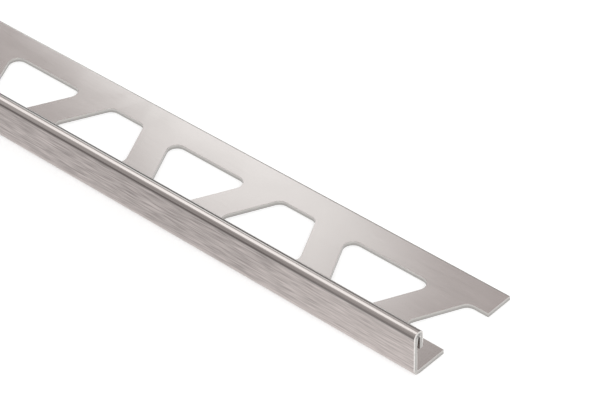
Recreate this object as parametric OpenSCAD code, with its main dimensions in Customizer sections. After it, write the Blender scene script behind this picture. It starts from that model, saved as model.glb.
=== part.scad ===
// Tile edge trim: one strip of stainless steel sheet, punched along its anchoring leg and
// roll-formed into an L whose top edge is hemmed back down behind the front wall.
// X runs along the stock, Y from the front wall to the back edge of the leg, and Z up.
// The origin is under the middle of the trim, on the plane that the leg is bedded on.

/* [Stock] */
// Length that the trim is cut to
trim_length = 1000; // [250:50:3000]
// Thickness of the sheet
sheet = 1.0; // [0.7:0.1:1.2]

/* [Section] */
// Height from the underside of the leg to the top of the rolled edge
trim_height = 10; // [8:0.5:20]
// Depth from the front face to the back edge of the anchoring leg
leg_depth = 27.4; // [25:0.1:40]
// Inside radius of the bend between the leg and the front wall
heel_radius = 0.5; // [0.3:0.1:1.5]
// Clear width of the slot inside the hemmed edge
hem_gap = 0.5; // [0.4:0.1:1.2]
// Height of the hem, from the foot of the folded-back lip to the top of the rolled edge
hem_height = 4.25; // [2.5:0.25:6]

/* [Perforation] */
// Spacing of neighbouring holes along the leg
hole_pitch = 23; // [20:0.5:40]
// Length of a hole's long side, measured to its sharp corners
hole_long = 21.7; // [17:0.1:26]
// Length of a hole's short side, measured to its sharp corners
hole_short = 9; // [6:0.1:13]
// Depth of a hole across the leg
hole_depth = 12.7; // [8:0.1:15]
// Radius of a hole's corners
hole_corner = 2; // [0.5:0.1:3]
// Depth of the unpunched strip between the front face and the holes
front_strip = 8.3; // [6:0.1:12]
// Distance from the right-hand cut to the centre of the hole nearest to it
first_hole = 0; // [0:0.5:20]

/* [Hidden] */
$fn = 48;

// Colour of the brushed steel
steel_colour = [0.72, 0.69, 0.67];

// Outside radii of the two bends
heel_outer = heel_radius + sheet;
hem_outer = hem_gap / 2 + sheet;
// Height at which the wall runs into the rolled edge
roll_start = trim_height - hem_outer;
// Near face and foot of the folded-back lip
lip_front = sheet + hem_gap;
lip_foot = trim_height - hem_height;
// Holes that start before the left-hand cut
hole_count = ceil((trim_length - first_hole + hole_long / 2) / hole_pitch);
// How far the punch passes each face of the sheet
punch_over = 1;
// How far a corner's arc stands past the sides that it blends, so that they join cleanly
arc_overlap = 0.0002;

function unit(v) = v / norm(v);

// Half of the angle at corner p, between its neighbours a and b
function half_angle(p, a, b) = acos(unit(a - p) * unit(b - p)) / 2;

// Distance from corner p to where an arc of radius r meets its sides
function setback(p, a, b, r) = r / tan(half_angle(p, a, b));

// Centre of the arc of radius r that rounds corner p
function arc_centre(p, a, b, r) = p + unit(unit(a - p) + unit(b - p)) * r / sin(half_angle(p, a, b));

// Convex outline with every corner rounded to radius r by a true arc
module rounded_outline(corners, r) {
    n = len(corners);
    polygon([
        for (i = [0 : n - 1])
            let (p = corners[i], a = corners[(i + n - 1) % n], b = corners[(i + 1) % n])
            let (s = setback(p, a, b, r))
            each [p + unit(a - p) * s, p + unit(b - p) * s]
    ]);
    for (i = [0 : n - 1])
        translate(arc_centre(corners[i], corners[(i + n - 1) % n], corners[(i + 1) % n], r))
            circle(r + arc_overlap);
}

// Trapezoid hole about its own centre, with its front and back sides given
module hole(front, back) {
    rounded_outline(
        [
            [-front / 2, -hole_depth / 2],
            [front / 2, -hole_depth / 2],
            [back / 2, hole_depth / 2],
            [-back / 2, hole_depth / 2]
        ],
        hole_corner
    );
}

// Row of holes, every other one turned front to back, counted from the right-hand cut
module hole_row() {
    for (i = [0 : hole_count - 1])
        translate([trim_length / 2 - first_hole - i * hole_pitch, front_strip + hole_depth / 2])
            if (i % 2 == 0)
                hole(hole_long, hole_short);
            else
                hole(hole_short, hole_long);
}

// Bent sheet about the origin, kept where it lies inside the given rectangle
module bend(inside, corner, size) {
    intersection() {
        difference() {
            circle(inside + sheet);
            circle(inside);
        }
        translate(corner)
            square(size);
    }
}

// Sheet seen from its cut end: x is the depth from the front face and y the height
module section() {
    // Anchoring leg
    translate([heel_outer, 0])
        square([leg_depth - heel_outer, sheet]);
    // Bend up into the wall
    translate([heel_outer, heel_outer])
        bend(heel_radius, [-heel_outer, -heel_outer], [heel_outer, heel_outer]);
    // Front wall
    translate([0, heel_outer])
        square([sheet, roll_start - heel_outer]);
    // Rolled top edge
    translate([hem_outer, roll_start])
        bend(hem_gap / 2, [-hem_outer, 0], [2 * hem_outer, hem_outer]);
    // Lip folded back down behind the wall
    translate([lip_front, lip_foot])
        square([sheet, roll_start - lip_foot]);
}

// Whole trim
module edge_profile() {
    color(steel_colour)
        translate([0, -leg_depth / 2, 0])
            difference() {
                rotate([90, 0, 90])
                    linear_extrude(trim_length, center = true)
                        section();
                translate([0, 0, -punch_over])
                    linear_extrude(sheet + 2 * punch_over)
                        hole_row();
            }
}

edge_profile();
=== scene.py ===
"""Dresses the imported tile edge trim: one strip of steel sheet, punched, bent and cut to length."""

import logging
import math
from dataclasses import dataclass
from enum import Enum, IntEnum
from typing import Any, Sequence

import bmesh
import bpy
from mathutils import Matrix, Vector


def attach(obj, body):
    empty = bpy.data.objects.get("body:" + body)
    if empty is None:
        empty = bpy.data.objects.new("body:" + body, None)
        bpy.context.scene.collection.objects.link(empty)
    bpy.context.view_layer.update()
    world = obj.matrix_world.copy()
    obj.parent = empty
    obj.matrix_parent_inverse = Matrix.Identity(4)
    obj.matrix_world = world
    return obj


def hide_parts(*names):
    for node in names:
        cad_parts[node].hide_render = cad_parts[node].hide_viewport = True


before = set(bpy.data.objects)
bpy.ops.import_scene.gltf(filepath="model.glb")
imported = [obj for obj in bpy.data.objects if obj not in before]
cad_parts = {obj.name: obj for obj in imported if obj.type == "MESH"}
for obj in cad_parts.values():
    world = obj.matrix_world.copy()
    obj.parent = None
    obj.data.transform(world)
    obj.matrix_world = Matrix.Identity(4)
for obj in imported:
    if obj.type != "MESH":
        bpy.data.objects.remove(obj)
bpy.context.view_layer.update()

Triple = tuple[float, float, float]
Span = tuple[float, float]

LOG = logging.getLogger("edge_trim")
METRES = 0.001
NODE = "edge_profile"
WHITE: Triple = (1.0, 1.0, 1.0)
BLACK: Triple = (0.0, 0.0, 0.0)
NOISE_MEAN = 0.5

# Heights, in metres, between which a cut end changes from the leg's look to the wall's
WALL_FOOT: Span = (0.0011, 0.0016)


class Zone(Enum):
    """Stretches of the sheet, in order from the back edge of the leg to the foot of the lip."""

    LEG = "leg"
    HEEL = "heel"
    WALL = "wall"
    ROLL = "roll"
    LIP = "lip"


class Skin(IntEnum):
    """Finishes of the sheet, numbered as the mesh's material slots."""

    SATIN = 0
    BRUSHED = 1
    ROLLED = 2
    CUT = 3
    RIM = 4


@dataclass(frozen=True)
class Grain:
    """One layer of noise in a finish.

    Attributes:
        cycles: Cycles per metre along X, Y and Z.
        octaves: How many finer layers it holds.
        shift: What sets its pattern apart from that of other layers.
        share: Its weight in the finish's tone.
    """

    cycles: Triple
    octaves: float
    shift: float = 0.0
    share: float = 1.0


class Field:
    """A shader socket that Python's operators turn into Math nodes."""

    def __init__(self, graph: "Graph", socket: bpy.types.NodeSocket) -> None:
        """Wraps one output socket.

        Args:
            graph: The node tree that the socket belongs to.
            socket: The output socket.
        """
        self.graph = graph
        self.socket = socket

    def _math(self, operation: str, first: Any, second: Any) -> "Field":
        """Adds one Math node.

        Args:
            operation: The Math node's operation.
            first: Its first value or Field.
            second: Its second value or Field.

        Returns:
            The node's result.
        """
        return self.graph.node("ShaderNodeMath", {"operation": operation}, {0: first, 1: second})

    def __add__(self, other: Any) -> "Field":
        """Sum."""
        return self._math("ADD", self, other)

    def __radd__(self, other: Any) -> "Field":
        """Sum, with the number first."""
        return self._math("ADD", other, self)

    def __sub__(self, other: Any) -> "Field":
        """Difference."""
        return self._math("SUBTRACT", self, other)

    def __rsub__(self, other: Any) -> "Field":
        """Difference, with the number first."""
        return self._math("SUBTRACT", other, self)

    def __mul__(self, other: Any) -> "Field":
        """Product."""
        return self._math("MULTIPLY", self, other)

    def __rmul__(self, other: Any) -> "Field":
        """Product, with the number first."""
        return self._math("MULTIPLY", other, self)

    def rise(self, low: float, high: float) -> "Field":
        """Ramps smoothly from 0 to 1.

        Args:
            low: The value at which the ramp starts.
            high: The value at which it ends.

        Returns:
            The ramp.
        """
        return self.graph.node(
            "ShaderNodeMapRange",
            {"interpolation_type": "SMOOTHSTEP"},
            {"Value": self, "From Min": low, "From Max": high},
        )

    def swing(self, size: float) -> "Field":
        """How far noise strays from its mean, times the given size."""
        return size * (self - NOISE_MEAN)


class Graph:
    """A node tree under construction."""

    def __init__(self, tree: bpy.types.NodeTree) -> None:
        """Starts an empty tree.

        Args:
            tree: The node tree of a material or world.
        """
        self.tree = tree
        tree.nodes.clear()

    def node(
        self,
        kind: str,
        settings: dict[str, Any] | None = None,
        inputs: dict[str | int, Any] | None = None,
        out: str | int = 0,
    ) -> Field:
        """Adds one node, sets it up and feeds its sockets.

        Args:
            kind: The node's type.
            settings: Its properties, which are set first.
            inputs: A value or Field for each socket, by name or number.
            out: The output socket to hand back.

        Returns:
            That output, or the first input of a node that has none.
        """
        made = self.tree.nodes.new(kind)
        for name, value in (settings or {}).items():
            setattr(made, name, value)
        for key, value in (inputs or {}).items():
            socket = made.inputs[key]
            if isinstance(value, Field):
                self.tree.links.new(value.socket, socket)
            else:
                socket.default_value = value
        return Field(self, made.outputs[out] if made.outputs else made.inputs[0])

    def mix(self, share: Any, first: Any, second: Any) -> Field:
        """Blends two colours.

        Args:
            share: How much of the second colour shows.
            first: The first colour.
            second: The second colour.

        Returns:
            The blend.
        """
        # The Mix node's colour sockets go by number, because other kinds share their names
        inputs = {
            0: share,
            6: (*first, 1.0) if isinstance(first, tuple) else first,
            7: (*second, 1.0) if isinstance(second, tuple) else second,
        }
        return self.node("ShaderNodeMix", {"data_type": "RGBA"}, inputs, 2)

    def streaks(self, grain: Grain) -> Field:
        """Noise that is stretched along the axes.

        Args:
            grain: The layer of noise.

        Returns:
            Values about the noise's mean.
        """
        place = self.node("ShaderNodeTexCoord", out="Object")
        inputs = {0: place, 1: grain.cycles}
        scaled = self.node("ShaderNodeVectorMath", {"operation": "MULTIPLY"}, inputs)
        inputs = {0: scaled, 1: (grain.shift,) * 3}
        moved = self.node("ShaderNodeVectorMath", {"operation": "ADD"}, inputs)
        inputs = {"Vector": moved, "Scale": 1.0, "Detail": grain.octaves}
        return self.node("ShaderNodeTexNoise", {}, inputs, "Fac")

    def place(self, axis: str) -> Field:
        """Place along X, Y or Z, in metres."""
        whole = self.node("ShaderNodeTexCoord", out="Object")
        return self.node("ShaderNodeSeparateXYZ", {}, {0: whole}, axis)

    def near_cut(self, start: float, end: float) -> Field:
        """Rises towards both cut ends, between two distances from the middle, in metres."""
        along = self.place("X")
        return (along * along).rise(start**2, end**2)

    def facing(self, axis: str) -> Field:
        """How far the surface faces along X, Y or Z, from -1 to 1."""
        normal = self.node("ShaderNodeNewGeometry", out="Normal")
        return self.node("ShaderNodeSeparateXYZ", {}, {0: normal}, axis)

    def toward(self, aim: Triple) -> Field:
        """How nearly a ray into the room runs along a direction.

        Args:
            aim: The direction.

        Returns:
            Values from -1 to 1.
        """
        ray = self.node("ShaderNodeTexCoord", out="Generated")
        inputs = {0: ray, 1: aim}
        return self.node("ShaderNodeVectorMath", {"operation": "DOT_PRODUCT"}, inputs, "Value")


@dataclass(frozen=True)
class PaintedDarkBands:
    """Painted reflection and shade: dark bands where the wall runs into the rolled edge, in metres.
    """

    foot: Span = (0.00845, 0.00895)
    top: Span = (0.00914, 0.0094)
    foot_climb: float = 0.00013
    top_climb: float = 0.00006
    climb_reach: Span = (0.4, 0.49)
    faint: float = 0.3
    faint_foot: Span = (0.00933, 0.00945)
    faint_top: Span = (0.00958, 0.0097)
    faint_reach: Span = (0.4, 0.445)
    cut_lift_reach: Span = (0.46, 0.485)
    line_cut_lift: float = 0.11
    faint_cut_lift: float = 0.45
    # The painted bands' colour: a stand-in for dark surroundings mirrored in the steel
    tone: Triple = (0.115, 0.099, 0.094)
    # Painted shade: the wall turns darker from its foot up towards the rolled edge
    painted_shade: float = 0.12
    painted_shade_foot: float = 0.003
    painted_shade_top: Span = (0.0096, 0.0098)
    front: Span = (-0.6, -0.2)

    def over(self, graph: Graph, colour: Field) -> Field:
        """Paints the dark bands and the shade over the front of the trim.

        Args:
            graph: The material's node tree.
            colour: The metal's colour without the painted bands.

        Returns:
            The metal's colour with them.
        """
        height = graph.place("Z")
        painted_shade = self.painted_shade * height.rise(self.painted_shade_foot, self.foot[0])
        painted_shade = painted_shade * (1 - height.rise(*self.painted_shade_top))
        # Near the cuts the painted bands move down a little and ease off
        climb = graph.near_cut(*self.climb_reach)
        foot, top = height - self.foot_climb * climb, height - self.top_climb * climb
        cut_lift = graph.near_cut(*self.cut_lift_reach)
        # Painted reflection: the main dark band, under the rolled edge's highlight
        line = (1 - self.painted_shade) * foot.rise(*self.foot) * (1 - top.rise(*self.top))
        line = line * (1 - self.line_cut_lift * cut_lift)
        # Painted reflection: a fainter band higher on the rolled edge, only near the cuts
        faint = self.faint * height.rise(*self.faint_foot) * (1 - height.rise(*self.faint_top))
        faint = faint * graph.near_cut(*self.faint_reach) * (1 - self.faint_cut_lift * cut_lift)
        faint = faint * (1 - line)
        front = 1 - graph.facing("Y").rise(*self.front)
        return graph.mix((painted_shade + line + faint) * front, colour, self.tone)


@dataclass(frozen=True)
class SteelFinish:
    """What every finish of the sheet shares: a name, two tones of steel and a roughness."""

    name: str
    dark: Triple
    light: Triple
    roughness: float

    def material(self) -> bpy.types.Material:
        """Makes the material, which each finish does in its own way."""
        raise NotImplementedError

    def start(self) -> tuple[bpy.types.Material, Graph]:
        """Makes the empty material.

        Returns:
            The material and its node tree.
        """
        material = bpy.data.materials.new(self.name)
        material.use_nodes = True
        return material, Graph(material.node_tree)

    def metal(
        self, graph: Graph, colour: Field, roughness: Field, relief: Field, depth: float
    ) -> None:
        """Ends the tree in bare metal.

        Args:
            graph: The material's node tree.
            colour: The metal's colour.
            roughness: Its roughness.
            relief: The height of its surface, from 0 to 1.
            depth: What a height of 1 measures, in metres.
        """
        inputs = {"Height": relief, "Distance": depth, "Strength": 1.0}
        bump = graph.node("ShaderNodeBump", {}, inputs)
        shader = graph.node(
            "ShaderNodeBsdfPrincipled",
            {},
            {"Base Color": colour, "Metallic": 1.0, "Roughness": roughness, "Normal": bump},
        )
        graph.node("ShaderNodeOutputMaterial", {}, {"Surface": shader})


@dataclass(frozen=True)
class BrushedSteel(SteelFinish):
    """Outer side of the wall, brushed lengthwise."""

    coarse: Grain = Grain((95.0, 0.0, 8600.0), octaves=3.0, share=0.2)
    hair: Grain = Grain((285.0, 0.0, 14000.0), octaves=2.0, shift=7.0, share=0.37)
    lines: Grain = Grain((171.0, 0.0, 3400.0), octaves=1.0, shift=43.0, share=0.38)
    slow: Grain = Grain((18.0, 260.0, 260.0), octaves=2.0, shift=21.0, share=0.05)
    tone_range: Span = (0.34, 0.66)
    # Painted light: the wall's tones turn lighter towards both cut ends
    lit_end_reach: Span = (0.45, 0.488)
    lit_end_dark: Triple = (0.35, 0.317, 0.306)
    lit_end_light: Triple = (0.66, 0.598, 0.579)
    # Painted reflection: the bend at the wall's foot is painted lighter, like pale floor mirrored in
    # it
    bend_reflection_tone: Triple = (0.64, 0.585, 0.568)
    bend_reflection_top: Span = (0.0009, 0.0021)
    bend_reflection_share: float = 0.6
    rough_swing: float = 0.22
    coarse_relief: float = 0.6
    hair_relief: float = 0.4
    relief_depth: float = 0.000012

    def material(self) -> bpy.types.Material:
        """Makes the material.

        Returns:
            Steel with streaks of three widths over a slow change of tone, with painted light near
            the cuts and a painted reflection that lightens the bend at its foot.
        """
        made, graph = self.start()
        coarse, hair = graph.streaks(self.coarse), graph.streaks(self.hair)
        lines, slow = graph.streaks(self.lines), graph.streaks(self.slow)
        brushed = self.coarse.share * coarse + self.hair.share * hair
        brushed = brushed + self.lines.share * lines + self.slow.share * slow
        tone = brushed.rise(*self.tone_range)
        plain_wall = graph.mix(tone, self.dark, self.light)
        # Painted light: a lighter copy of the brushed tones, which takes over near the cuts
        bright = graph.mix(tone, self.lit_end_dark, self.lit_end_light)
        wall = graph.mix(graph.near_cut(*self.lit_end_reach), plain_wall, bright)
        # Painted reflection: lighter along the bend at the wall's foot
        bent = self.bend_reflection_share * (1 - graph.place("Z").rise(*self.bend_reflection_top))
        colour = PaintedDarkBands().over(graph, graph.mix(bent, wall, self.bend_reflection_tone))
        roughness = self.roughness + brushed.swing(self.rough_swing)
        relief = self.coarse_relief * coarse + self.hair_relief * hair
        self.metal(graph, colour, roughness, relief, self.relief_depth)
        return made


@dataclass(frozen=True)
class RolledSteel(SteelFinish):
    """Outer side of the rolled edge, burnished by the forming rolls."""

    lines: Grain = Grain((45.0, 5200.0, 5200.0), octaves=2.0, shift=3.0, share=0.7)
    slow: Grain = Grain((30.0, 200.0, 200.0), octaves=2.0, shift=11.0, share=0.3)
    tone_range: Span = (0.3, 0.7)
    # Painted shade: the back of the rolled edge is painted nearly black, less so near the cuts
    low_tone: Triple = (0.1, 0.0945, 0.0915)
    rear_shade_facing: Span = (-0.1, 0.35)
    rear_shade_share: float = 0.85
    lit_end_share: float = 0.42
    lit_end_reach: Span = (0.43, 0.495)
    rough_swing: float = 0.08
    relief_depth: float = 0.000003

    def material(self) -> bpy.types.Material:
        """Makes the material.

        Returns:
            Steel with faint draw lines along the edge, with painted shade on the back of the edge
            that eases off near the cuts.
        """
        made, graph = self.start()
        lines, slow = graph.streaks(self.lines), graph.streaks(self.slow)
        tone = (self.lines.share * lines + self.slow.share * slow).rise(*self.tone_range)
        bright = graph.mix(tone, self.dark, self.light)
        # Painted shade on the back of the rolled edge, eased near the cuts
        behind = graph.facing("Y").rise(*self.rear_shade_facing)
        rear_shade = behind * (self.rear_shade_share - self.lit_end_share * graph.near_cut(*self.lit_end_reach))
        colour = PaintedDarkBands().over(graph, graph.mix(rear_shade, bright, self.low_tone))
        roughness = self.roughness + slow.swing(self.rough_swing)
        self.metal(graph, colour, roughness, lines, self.relief_depth)
        return made


@dataclass(frozen=True)
class SatinSteel(SteelFinish):
    """The leg and the hidden sides, as the sheet left the mill."""

    clouds: Grain = Grain((55.0, 90.0, 90.0), octaves=3.0, shift=5.0, share=0.7)
    grain: Grain = Grain((120.0, 1500.0, 1500.0), octaves=2.0, shift=13.0, share=0.3)
    tone_range: Span = (0.3, 0.7)
    # Painted shade: the leg's top turns darker next to the foot of the wall
    heel_shade_tone: Triple = (0.455, 0.427, 0.416)
    heel_shade_reach: Span = (-0.0062, -0.0032)
    heel_shade_facing: Span = (0.5, 0.9)
    heel_shade_share: float = 0.6
    cloud_swing: float = 0.05
    grain_swing: float = 0.04
    relief_depth: float = 0.000002

    def material(self) -> bpy.types.Material:
        """Makes the material.

        Returns:
            Satin steel with a faint rolling grain and soft clouds of tone, with painted shade on the
            leg along the foot of the wall.
        """
        made, graph = self.start()
        clouds, grain = graph.streaks(self.clouds), graph.streaks(self.grain)
        tone = (self.clouds.share * clouds + self.grain.share * grain).rise(*self.tone_range)
        sheet = graph.mix(tone, self.dark, self.light)
        # Painted shade on the upward faces of the leg beside the wall's foot
        heel = 1 - graph.place("Y").rise(*self.heel_shade_reach)
        heel = heel * graph.facing("Z").rise(*self.heel_shade_facing)
        colour = graph.mix(self.heel_shade_share * heel, sheet, self.heel_shade_tone)
        roughness = self.roughness + clouds.swing(self.cloud_swing) + grain.swing(self.grain_swing)
        self.metal(graph, colour, roughness, grain, self.relief_depth)
        return made


@dataclass(frozen=True)
class CutSteel(SteelFinish):
    """Sheared edges: a burnished band above a torn one."""

    marks: Grain = Grain((5200.0, 5200.0, 500.0), octaves=3.0, shift=17.0, share=0.35)
    tear: Grain = Grain((900.0, 900.0, 900.0), octaves=2.0, shift=29.0)
    tear_top: float = 0.00058
    tear_edge: float = 0.00008
    tear_swing: float = 0.00025
    burnish_share: float = 0.65
    burnish_gloss: float = 0.14
    tone_range: Span = (0.1, 0.9)
    wall_end_dark_share: float = 0.85
    rough_swing: float = 0.2
    relief_depth: float = 0.000012

    def material(self) -> bpy.types.Material:
        """Makes the material.

        Returns:
            Steel with shear marks down its edge, rougher where the sheet tore and darker on the cut
            ends above the wall's foot.
        """
        made, graph = self.start()
        marks = graph.streaks(self.marks)
        ragged = graph.place("Z") + graph.streaks(self.tear).swing(self.tear_swing)
        burnish = ragged.rise(self.tear_top - self.tear_edge, self.tear_top + self.tear_edge)
        tone = self.burnish_share * burnish + self.marks.share * marks
        # Darker on the cut ends above the wall's foot
        wall_end_dark = self.wall_end_dark_share * graph.place("Z").rise(*WALL_FOOT)
        colour = graph.mix(tone.rise(*self.tone_range) * (1 - wall_end_dark), self.dark, self.light)
        roughness = self.roughness - self.burnish_gloss * burnish + marks.swing(self.rough_swing)
        self.metal(graph, colour, roughness, marks, self.relief_depth)
        return made


@dataclass(frozen=True)
class RimSteel(SteelFinish):
    """Rounded rims of the cut edges, with a painted highlight on the front rims near the cuts."""

    nicks: Grain = Grain((1400.0, 1400.0, 1400.0), octaves=3.0, shift=37.0)
    tone_range: Span = (0.3, 0.6)
    low_tone: Triple = (0.57, 0.545, 0.53)
    # Painted highlight: the light rim tones show near the cuts, on front rims above the wall's foot
    cut_lift_reach: Span = (0.47, 0.495)
    back_facing: Span = (0.1, 0.5)
    top_facing: Span = (0.1, 0.6)
    top_share: float = 0.7
    # Painted shade: the lip's rim inside the slot is painted dark
    slot_shade_tone: Triple = (0.23, 0.218, 0.212)
    slot_front: Span = (-0.01245, -0.01225)
    slot_facing: Span = (-0.2, 0.0)
    slot_top: Span = (0.0083, 0.0087)
    rough_swing: float = 0.2
    relief_depth: float = 0.000006

    def material(self) -> bpy.types.Material:
        """Makes the material.

        Returns:
            Bright steel with small nicks on the cut ends of the wall, duller steel on the leg and
            the back, and dark steel on the rim of the lip that faces into the slot.
        """
        made, graph = self.start()
        nicks = graph.streaks(self.nicks)
        bright = graph.mix(nicks.rise(*self.tone_range), self.dark, self.light)
        # Painted highlight: light rim tones on the wall's front rims near the cuts, less on top
        above = graph.place("Z").rise(*WALL_FOOT)
        cut_lift = above * graph.near_cut(*self.cut_lift_reach)
        cut_lift = cut_lift * (1 - graph.facing("Y").rise(*self.back_facing))
        cut_lift = cut_lift * (1 - self.top_share * graph.facing("Z").rise(*self.top_facing))
        # Painted shade on the lip's rim that faces into the slot
        slot_shade = graph.place("Y").rise(*self.slot_front)
        slot_shade = slot_shade * (1 - graph.facing("Y").rise(*self.slot_facing))
        slot_shade = slot_shade * above * (1 - graph.place("Z").rise(*self.slot_top))
        colour = graph.mix(slot_shade, graph.mix(cut_lift, self.low_tone, bright), self.slot_shade_tone)
        roughness = self.roughness + nicks.swing(self.rough_swing)
        self.metal(graph, colour, roughness, nicks, self.relief_depth)
        return made


@dataclass(frozen=True)
class BentSheet:
    """Section of the trim, in millimetres, and the way from the flat blank to the bent sheet."""

    length: float = 1000.0
    thickness: float = 1.0
    height: float = 10.0
    leg_depth: float = 27.4
    heel_radius: float = 0.5
    hem_gap: float = 0.5
    hem_height: float = 4.25

    @property
    def heel_outer(self) -> float:
        """Outside radius of the bend at the leg."""
        return self.heel_radius + self.thickness

    @property
    def hem_outer(self) -> float:
        """Outside radius of the rolled edge."""
        return self.hem_gap / 2 + self.thickness

    @property
    def roll_start(self) -> float:
        """Height at which the wall runs into the rolled edge."""
        return self.height - self.hem_outer

    def runs(self) -> list[tuple[Zone, float]]:
        """Stretches of the blank, measured at half its thickness.

        Returns:
            Each zone with its length, from the back edge on.
        """
        half = self.thickness / 2
        return [
            (Zone.LEG, self.leg_depth - self.heel_outer),
            (Zone.HEEL, (self.heel_radius + half) * math.pi / 2),
            (Zone.WALL, self.roll_start - self.heel_outer),
            (Zone.ROLL, (self.hem_gap / 2 + half) * math.pi),
            (Zone.LIP, self.roll_start - (self.height - self.hem_height)),
        ]

    def zone_at(self, across: float) -> tuple[Zone, float]:
        """Finds the zone at a distance across the blank.

        Args:
            across: Distance from the back edge of the leg.

        Returns:
            The zone, and the distance from where it starts.
        """
        left = across
        for zone, run in self.runs():
            if left <= run or zone is Zone.LIP:
                return zone, left
            left -= run
        raise ValueError(across)

    def stations(self, steps: dict[Zone, int]) -> list[float]:
        """Distances across the blank at which its mesh is divided, past the leg.

        Args:
            steps: How many strips each zone gets.

        Returns:
            The distances, in order.
        """
        marks: list[float] = []
        start = 0.0
        for zone, run in self.runs():
            if zone in steps:
                marks += [start + run * i / steps[zone] for i in range(steps[zone])]
            start += run
        return [*marks, start]

    def bend(self, blank: Vector) -> Vector:
        """Carries a point of the flat blank to the bent trim.

        Args:
            blank: Place along the stock, distance across the blank, and distance from its middle
                towards the outer side.

        Returns:
            The point in the frame of the CAD model, in metres.
        """
        x, across, out = blank
        zone, run = self.zone_at(across)
        half = self.thickness / 2
        if zone is Zone.LEG:
            y, z = self.leg_depth - across, half - out
        elif zone is Zone.HEEL:
            middle = self.heel_radius + half
            y = self.heel_outer - (middle + out) * math.sin(run / middle)
            z = self.heel_outer - (middle + out) * math.cos(run / middle)
        elif zone is Zone.WALL:
            y, z = half - out, self.heel_outer + run
        elif zone is Zone.ROLL:
            middle = self.hem_gap / 2 + half
            y = self.hem_outer - (middle + out) * math.cos(run / middle)
            z = self.roll_start + (middle + out) * math.sin(run / middle)
        else:
            y, z = self.thickness + self.hem_gap + half + out, self.roll_start - run
        return Vector((x, y - self.leg_depth / 2, z)) * METRES


@dataclass(frozen=True)
class PunchedRow:
    """Row of rounded trapezoid holes in the leg, in millimetres."""

    pitch: float = 23.0
    long_side: float = 21.7
    short_side: float = 9.0
    depth: float = 12.7
    corner: float = 2.0
    front_strip: float = 8.3
    arc_steps: int = 5
    side_steps: int = 2

    @property
    def steps(self) -> int:
        """Mesh edges along one side of a hole, with half of the arc at each end."""
        return 2 * self.arc_steps + self.side_steps

    @property
    def half_strut(self) -> float:
        """Half of the metal left between two holes, along the stock."""
        return (self.pitch - (self.long_side + self.short_side) / 2) / 2

    def half_width(self, wide_front: bool, y: float) -> float:
        """Half of a hole's width, with its slanting sides run on past the hole.

        Args:
            wide_front: Whether the long side faces the wall.
            y: Depth from the front face.

        Returns:
            The half width.
        """
        front, back = self.long_side, self.short_side
        if not wide_front:
            front, back = back, front
        return (front + (back - front) * (y - self.front_strip) / self.depth) / 2

    def _arc(self, before: Vector, at: Vector, after: Vector) -> list[Vector]:
        """Rounds one corner.

        Args:
            before: The corner before it.
            at: The corner.
            after: The corner after it.

        Returns:
            Points from one side to the other.
        """
        back, on = (before - at).normalized(), (after - at).normalized()
        half = math.acos(max(-1.0, min(1.0, back.dot(on)))) / 2
        centre = at + (back + on).normalized() * (self.corner / math.sin(half))
        spoke = at + back * (self.corner / math.tan(half)) - centre
        start, sweep = math.atan2(spoke.y, spoke.x), math.pi - 2 * half
        count = 2 * self.arc_steps
        angles = [start + sweep * i / count for i in range(count + 1)]
        return [centre + self.corner * Vector((math.cos(a), math.sin(a))) for a in angles]

    def sides(self, centre: float, wide_front: bool) -> list[list[Vector]]:
        """Outline of one hole, split in the middle of its corners.

        Args:
            centre: Place of the hole along the stock.
            wide_front: Whether the long side faces the wall.

        Returns:
            Points of the front, right, back and left side, going round.
        """
        near, far = self.front_strip, self.front_strip + self.depth
        a, b = self.half_width(wide_front, near), self.half_width(wide_front, far)
        corners = [
            Vector((centre - a, near)),
            Vector((centre + a, near)),
            Vector((centre + b, far)),
            Vector((centre - b, far)),
        ]
        arcs = [self._arc(corners[k - 1], corners[k], corners[(k + 1) % 4]) for k in range(4)]
        shares = [i / self.side_steps for i in range(1, self.side_steps)]
        out = []
        for k in range(4):
            start, end = arcs[k][self.arc_steps :], arcs[(k + 1) % 4][: self.arc_steps + 1]
            out.append(start + [start[-1].lerp(end[0], share) for share in shares] + end)
        return out


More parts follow.
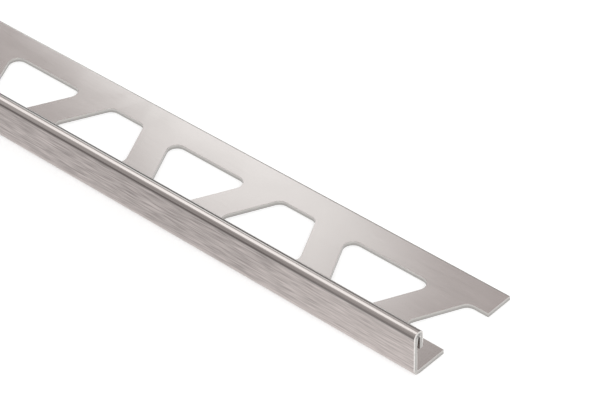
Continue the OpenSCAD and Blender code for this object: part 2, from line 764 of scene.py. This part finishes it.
@dataclass(frozen=True)
class EdgeTrim:
    """The whole trim: a punched blank with rounded edges, bent to its section.

    Lengths are in millimetres and the angle is in degrees. The last fields say how finely the mesh
    is divided, and where its limits lie.
    """

    sheet: BentSheet = BentSheet()
    row: PunchedRow = PunchedRow()
    edge_round: float = 0.055
    cut_round: float = 0.07
    rim_depth: float = 0.28
    inner_rim: float = 0.2
    burr: float = 0.16
    burr_width: float = 0.32
    burr_reach: float = 2.4
    slit_width: float = 0.42
    slit_depth: float = 0.16
    edge_steps: int = 2
    heel_strips: int = 7
    wall_strips: int = 3
    roll_strips: int = 21
    lip_strips: int = 2
    weld: float = 1e-4
    shortest: float = 1e-6
    sharp_angle: float = 50.0
    rim_slack: float = 1.01
    cut_limit: float = 0.1
    rim_limit: float = 0.99
    shading_weight: int = 50

    def _lines(self, index: int, last: bool) -> list[list[Vector]]:
        """Border of the stretch of leg round one hole.

        Args:
            index: Number of the hole, from the right-hand cut.
            last: Whether the left-hand cut bounds it.

        Returns:
            Points on the front, right, back and left border, as many as a side of the hole has.
        """
        half = self.sheet.length / 2
        centre, wide_front = half - index * self.row.pitch, index % 2 == 0
        depths = (self.sheet.heel_outer, self.sheet.leg_depth)
        reach = [self.row.half_width(wide_front, y) + self.row.half_strut for y in depths]
        left = [-half if last else centre - r for r in reach]
        corners = [
            Vector((left[0], depths[0])),
            Vector((centre + reach[0], depths[0])),
            Vector((centre + reach[1], depths[1])),
            Vector((left[1], depths[1])),
        ]
        shares = [i / self.row.steps for i in range(self.row.steps + 1)]
        return [[corners[k].lerp(corners[(k + 1) % 4], s) for s in shares] for k in range(4)]

    def _leg(self) -> tuple[list[list[Vector]], list[float]]:
        """Mesh of the flat leg.

        Returns:
            Its faces as rings of points, and the places along the stock where the wall's mesh is
            divided.
        """
        faces: list[list[Vector]] = []
        marks: list[float] = []
        steps = self.row.steps
        whole = int((self.sheet.length - self.row.long_side / 2) // self.row.pitch)
        for index in range(whole + 1):
            holes = self.row.sides(self.sheet.length / 2 - index * self.row.pitch, index % 2 == 0)
            lines = self._lines(index, index == whole)
            spans = {k: range(steps) for k in range(4)}
            if index == 0:
                spans = {0: range(steps // 2), 2: range(steps // 2, steps), 3: range(steps)}
            for k, span in spans.items():
                for j in span:
                    faces.append([holes[k][j], holes[k][j + 1], lines[k][j + 1], lines[k][j]])
            marks += [lines[0][j].x for j in (*spans[0], spans[0][-1] + 1)]
        return faces, sorted(marks)

    def _blank(self) -> bmesh.types.BMesh:
        """Flat blank with its thickness.

        Returns:
            A closed mesh: along the stock, across the blank, and through it.
        """
        leg, marks = self._leg()
        rings = [[(p.x, self.sheet.leg_depth - p.y) for p in ring] for ring in leg]
        strips = {
            Zone.HEEL: self.heel_strips,
            Zone.WALL: self.wall_strips,
            Zone.ROLL: self.roll_strips,
            Zone.LIP: self.lip_strips,
        }
        across = self.sheet.stations(strips)
        for a, b in zip(across, across[1:]):
            for x, y in zip(marks, marks[1:]):
                if y - x > self.shortest:
                    rings.append([(x, a), (y, a), (y, b), (x, b)])
        mesh = bmesh.new()
        for ring in rings:
            mesh.faces.new([mesh.verts.new((x, a, self.sheet.thickness / 2)) for x, a in ring])
        bmesh.ops.remove_doubles(mesh, verts=mesh.verts, dist=self.weld)
        bmesh.ops.recalc_face_normals(mesh, faces=mesh.faces)
        grown = bmesh.ops.extrude_face_region(mesh, geom=mesh.faces[:], use_keep_orig=True)
        moved = [v for v in grown["geom"] if isinstance(v, bmesh.types.BMVert)]
        bmesh.ops.translate(mesh, verts=moved, vec=(0, 0, -self.sheet.thickness))
        bmesh.ops.recalc_face_normals(mesh, faces=mesh.faces)
        return mesh

    def _round(self, mesh: bmesh.types.BMesh) -> None:
        """Breaks the blank's cut edges with a small radius.

        Args:
            mesh: The blank.
        """
        limit = math.radians(self.sharp_angle)
        joined = [e for e in mesh.edges if len(e.link_faces) == 2]
        bmesh.ops.bevel(
            mesh,
            geom=[e for e in joined if e.calc_face_angle() > limit],
            offset=self.edge_round,
            offset_type="OFFSET",
            segments=self.edge_steps,
            profile=0.5,
            affect="EDGES",
            clamp_overlap=False,
        )

    def _burr_share(self, across: float) -> float:
        """How much of the saw's burr is left on the inner rim of a cut.

        Args:
            across: Distance across the blank.

        Returns:
            1 at the top of the slot, falling to 0 down the wall and round the roll.
        """
        runs = dict(self.sheet.runs())
        half = runs[Zone.ROLL] / 2
        past = across - runs[Zone.LEG] - runs[Zone.HEEL] - runs[Zone.WALL]
        away = -past / self.burr_reach if past < 0 else (past - half) / half
        return 1 - max(0.0, min(1.0, away))

    def _break_cut(self, mesh: bmesh.types.BMesh) -> None:
        """Widens the rims of both cuts from the heel on, and leaves a burr in the slot's top.

        Args:
            mesh: The blank, with its edges rounded.
        """
        end, face = self.sheet.length / 2, self.sheet.thickness / 2
        heel = self.sheet.leg_depth - self.sheet.heel_outer
        for vert in mesh.verts:
            inset, depth = end - abs(vert.co.x), face - abs(vert.co.z)
            if vert.co.y > heel and max(inset, depth) < self.rim_slack * self.edge_round:
                inset, depth = inset / self.edge_round, depth / self.edge_round
                burr = self._burr_share(vert.co.y) if vert.co.z < 0 else 0.0
                rim = self.rim_depth if vert.co.z > 0 else self.inner_rim
                wide = (1 - burr) * self.cut_round * inset + burr * self.burr_width * (1 - depth)
                deep = ((1 - burr) * rim - burr * self.burr) * depth
                vert.co.x = math.copysign(end - wide, vert.co.x)
                vert.co.z = math.copysign(face - deep, vert.co.z)

    def _roll_over(self, mesh: bmesh.types.BMesh) -> None:
        """Widens the rim on top of the leg's back edge, which the slitting blade pulls down.

        Args:
            mesh: The blank, with its edges rounded.
        """
        face = self.sheet.thickness / 2
        for vert in mesh.verts:
            depth = vert.co.z + face
            if max(vert.co.y, depth) < self.rim_slack * self.edge_round:
                vert.co.y *= self.slit_width / self.edge_round
                vert.co.z = depth * self.slit_depth / self.edge_round - face

    def _skin(self, face: bmesh.types.BMFace) -> Skin:
        """Chooses the finish of one face of the blank.

        Args:
            face: The face, still flat.

        Returns:
            Its finish.
        """
        if abs(face.normal.z) < self.cut_limit:
            return Skin.CUT
        if abs(face.normal.z) < self.rim_limit:
            return Skin.RIM
        zone, _ = self.sheet.zone_at(face.calc_center_median().y)
        outer = face.normal.z > 0
        if outer and zone in (Zone.HEEL, Zone.WALL):
            return Skin.BRUSHED
        if outer and zone is Zone.ROLL:
            return Skin.ROLLED
        return Skin.SATIN

    def build(self, finishes: dict[Skin, bpy.types.Material]) -> bpy.types.Object:
        """Makes the trim and puts it in place of its CAD node.

        Args:
            finishes: The material of each finish.

        Returns:
            The piece.
        """
        mesh = self._blank()
        self._round(mesh)
        self._break_cut(mesh)
        self._roll_over(mesh)
        mesh.normal_update()
        for face in mesh.faces:
            face.material_index = self._skin(face)
            face.smooth = True
        for vert in mesh.verts:
            vert.co = self.sheet.bend(vert.co)
        data = bpy.data.meshes.new("edge_trim")
        mesh.to_mesh(data)
        mesh.free()
        for skin in Skin:
            data.materials.append(finishes[skin])
        piece = add_object("edge_trim", data)
        even = piece.modifiers.new("even_shading", "WEIGHTED_NORMAL")
        even.mode = "FACE_AREA"
        even.weight = self.shading_weight
        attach(piece, "root")
        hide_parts(NODE)
        LOG.info("edge_trim: %d faces", len(data.polygons))
        return piece


@dataclass(frozen=True)
class SoftBox:
    """One soft studio lamp, in metres."""

    name: str
    place: Triple
    aim: Triple
    width: float
    height: float
    level: float
    upright: Triple = (0.0, 0.0, 1.0)
    tint: Triple = WHITE

    def build(self) -> bpy.types.Object:
        """Hangs the lamp.

        Returns:
            The lamp.
        """
        lamp = bpy.data.lights.new(self.name, "AREA")
        lamp.shape = "ELLIPSE"
        lamp.size, lamp.size_y = self.width, self.height
        # Power goes with the ellipse's area, so the level alone sets how bright its face is
        lamp.energy = self.level * math.pi**2 * self.width * self.height / 4
        lamp.color = self.tint
        made = add_object(self.name, lamp)
        away = (Vector(self.place) - Vector(self.aim)).normalized()
        side = Vector(self.upright).cross(away).normalized()
        turn = Matrix((side, away.cross(side), away)).transposed().to_4x4()
        made.matrix_world = Matrix.Translation(self.place) @ turn
        made.visible_camera = False
        return made


@dataclass(frozen=True)
class Viewpoint:
    """Where the photograph was taken from, in degrees and metres, and the lens in pixels."""

    azimuth: float = 42.8929
    elevation: float = 38.7369
    roll: float = -1.5571
    aim: Triple = (0.4514097, 0.0104948, 0.0)
    distance: float = 0.4577541
    focal_pixels: float = 2380.773
    image_width: float = 600.0
    sensor_width: float = 36.0
    clip: Span = (0.01, 100.0)

    def build(self) -> bpy.types.Object:
        """Stands the camera there.

        Returns:
            The camera.
        """
        angles = (self.azimuth, self.elevation, self.roll)
        azimuth, elevation, roll = (math.radians(angle) for angle in angles)
        level = math.cos(elevation)
        back = Vector((math.sin(azimuth) * level, -math.cos(azimuth) * level, math.sin(elevation)))
        right = Vector((math.cos(azimuth), math.sin(azimuth), 0.0))
        up = back.cross(right)
        across = math.cos(roll) * right + math.sin(roll) * up
        upright = math.cos(roll) * up - math.sin(roll) * right
        data = bpy.data.cameras.new("camera")
        data.sensor_width = self.sensor_width
        data.lens = self.focal_pixels / self.image_width * self.sensor_width
        data.clip_start, data.clip_end = self.clip
        made = add_object("camera", data)
        turn = Matrix((across, upright, back)).transposed().to_4x4()
        made.matrix_world = Matrix.Translation(Vector(self.aim) + back * self.distance) @ turn
        bpy.context.scene.camera = made
        return made


@dataclass(frozen=True)
class Studio:
    """Floor, surroundings, lamps and camera."""

    viewpoint: Viewpoint = Viewpoint()
    floor_size: float = 60.0
    floor_drop: float = 0.00004
    floor_tone: Triple = (0.7, 0.72, 0.725)
    floor_lift: float = 0.52
    floor_roughness: float = 0.9
    room_tone: Triple = (0.65, 0.613, 0.603)
    corner_tone: Triple = (0.28, 0.263, 0.257)
    corner_aim: Triple = (-0.45, 0.72, -0.53)
    corner_spread: Span = (0.35, 0.8)
    window_tone: Triple = (1.0, 0.985, 0.975)
    window_aim: Triple = (0.98, 0.0, 0.196)
    window_spread: Span = (0.2, 0.85)

    def _seen(self, graph: Graph) -> Field:
        """Whether a ray comes from the camera, or from it by way of a mirror or glass.

        Args:
            graph: The node tree that asks.

        Returns:
            1 for such a ray, else 0.
        """
        camera = graph.node("ShaderNodeLightPath", out="Is Camera Ray")
        glossy = graph.node("ShaderNodeLightPath", out="Is Glossy Ray")
        through = graph.node("ShaderNodeLightPath", out="Is Transmission Ray")
        return (camera + glossy + through).rise(0.0, 1.0)

    def floor(self) -> bpy.types.Object:
        """Lays the pale floor, which keeps the trim's shadow.

        Returns:
            The floor.
        """
        material = bpy.data.materials.new("pale_floor")
        material.use_nodes = True
        graph = Graph(material.node_tree)
        shader = graph.node(
            "ShaderNodeBsdfPrincipled",
            {},
            {
                "Base Color": (*self.floor_tone, 1.0),
                "Roughness": self.floor_roughness,
                "Specular IOR Level": 0.0,
                "Emission Color": graph.mix(self._seen(graph), BLACK, (self.floor_lift,) * 3),
                "Emission Strength": 1.0,
            },
        )
        graph.node("ShaderNodeOutputMaterial", {}, {"Surface": shader})
        half, low = self.floor_size / 2, -self.floor_drop
        corners = [(-half, -half, low), (half, -half, low), (half, half, low), (-half, half, low)]
        data = bpy.data.meshes.new("floor")
        data.from_pydata(corners, [], [(0, 1, 2, 3)])
        data.materials.append(material)
        made = add_object("floor", data)
        return made

    def surroundings(self) -> None:
        """Fills the room: white to the camera, dim in one low corner, bright along one side."""
        world = bpy.data.worlds.new("room")
        bpy.context.scene.world = world
        world.use_nodes = True
        graph = Graph(world.node_tree)
        corner = graph.toward(self.corner_aim).rise(*self.corner_spread)
        window = graph.toward(self.window_aim).rise(*self.window_spread)
        room = graph.mix(corner, self.room_tone, self.corner_tone)
        tone = graph.mix(window, room, self.window_tone)
        camera = graph.node("ShaderNodeLightPath", out="Is Camera Ray")
        seen = graph.mix(camera, tone, WHITE)
        light = graph.node("ShaderNodeBackground", {}, {"Color": seen, "Strength": 1.0})
        graph.node("ShaderNodeOutputWorld", {}, {"Surface": light})

    def lamps(self) -> None:
        """Hangs the lamps round the cut end that the photograph shows."""
        boxes = [
            SoftBox(
                "back_strip",
                place=(-0.14, 0.5768, 0.4137),
                aim=(0.43, 0.01, 0.0),
                width=0.573,
                height=0.193,
                level=0.91,
                upright=(-0.604, -0.779, 0.169),
                tint=(1.0, 1.076, 1.086),
            ),
            SoftBox(
                "top_box",
                place=(-0.11, -0.1, 0.85),
                aim=(0.43, 0.0, 0.0),
                width=0.7,
                height=0.68,
                level=0.88,
                upright=(0.0, 1.0, 0.0),
            ),
            SoftBox(
                "front_fill",
                place=(0.66, -0.21, 0.17),
                aim=(0.5, -0.02, 0.0),
                width=0.2,
                height=0.2,
                level=1.6,
            ),
        ]
        for box in boxes:
            box.build()

    def build(self) -> None:
        """Sets up the whole studio."""
        self.viewpoint.build()
        self.floor()
        self.surroundings()
        self.lamps()
        bpy.context.scene.view_settings.view_transform = "Standard"
        LOG.info("studio: camera, floor, room and lamps")


def add_object(name: str, data: bpy.types.ID) -> bpy.types.Object:
    """Puts a mesh, lamp or camera into the scene.

    Args:
        name: The object's name.
        data: The mesh, lamp or camera.

    Returns:
        The object.
    """
    made = bpy.data.objects.new(name, data)
    bpy.context.scene.collection.objects.link(made)
    return made


def main() -> None:
    """Builds the studio and the trim."""
    logging.basicConfig(level=logging.INFO, format="%(name)s: %(message)s")
    Studio().build()
    finishes: dict[Skin, SteelFinish] = {
        Skin.SATIN: SatinSteel(
            "satin_steel",
            dark=(0.548, 0.514, 0.5),
            light=(0.598, 0.561, 0.547),
            roughness=0.205,
        ),
        Skin.BRUSHED: BrushedSteel(
            "brushed_steel",
            dark=(0.235, 0.213, 0.205),
            light=(0.585, 0.528, 0.513),
            roughness=0.32,
        ),
        Skin.ROLLED: RolledSteel(
            "rolled_steel",
            dark=(0.545, 0.52, 0.505),
            light=(0.605, 0.58, 0.565),
            roughness=0.13,
        ),
        Skin.CUT: CutSteel(
            "cut_steel",
            dark=(0.418, 0.404, 0.391),
            light=(0.516, 0.499, 0.481),
            roughness=0.38,
        ),
        # The rim tones are lighter than the cut edges: a painted highlight
        Skin.RIM: RimSteel(
            "rim_steel",
            dark=(0.66, 0.64, 0.62),
            light=(0.78, 0.755, 0.735),
            roughness=0.25,
        ),
    }
    EdgeTrim().build({skin: finish.material() for skin, finish in finishes.items()})


if __name__ == "__main__":
    main()
